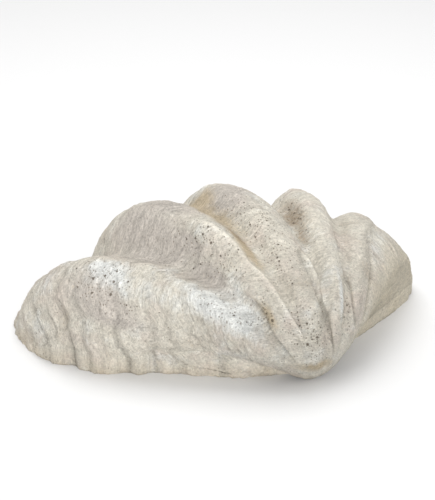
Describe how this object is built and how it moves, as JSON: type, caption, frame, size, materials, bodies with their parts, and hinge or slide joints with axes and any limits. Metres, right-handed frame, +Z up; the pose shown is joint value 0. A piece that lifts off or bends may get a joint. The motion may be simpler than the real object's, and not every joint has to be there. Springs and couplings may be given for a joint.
{
  "type": "giant clam shell valve",
  "caption": "Heavy weathered giant clam valve lying on its open side, with deep rounded radial folds over a fluted hollow; a display or garden piece.",
  "frame": {"origin": "middle of the footprint's bounding box, on the floor", "axes": "+X along the length of the valve, to the right in the picture; +Y from the hinge towards the scalloped edge; +Z up"},
  "size_m": [0.7555, 0.5076, 0.2608],
  "materials": {
    "shell": "matte"
  },
  "bodies": {
    "root": {"clam_shell": "shell"}
  },
  "joints": []
}
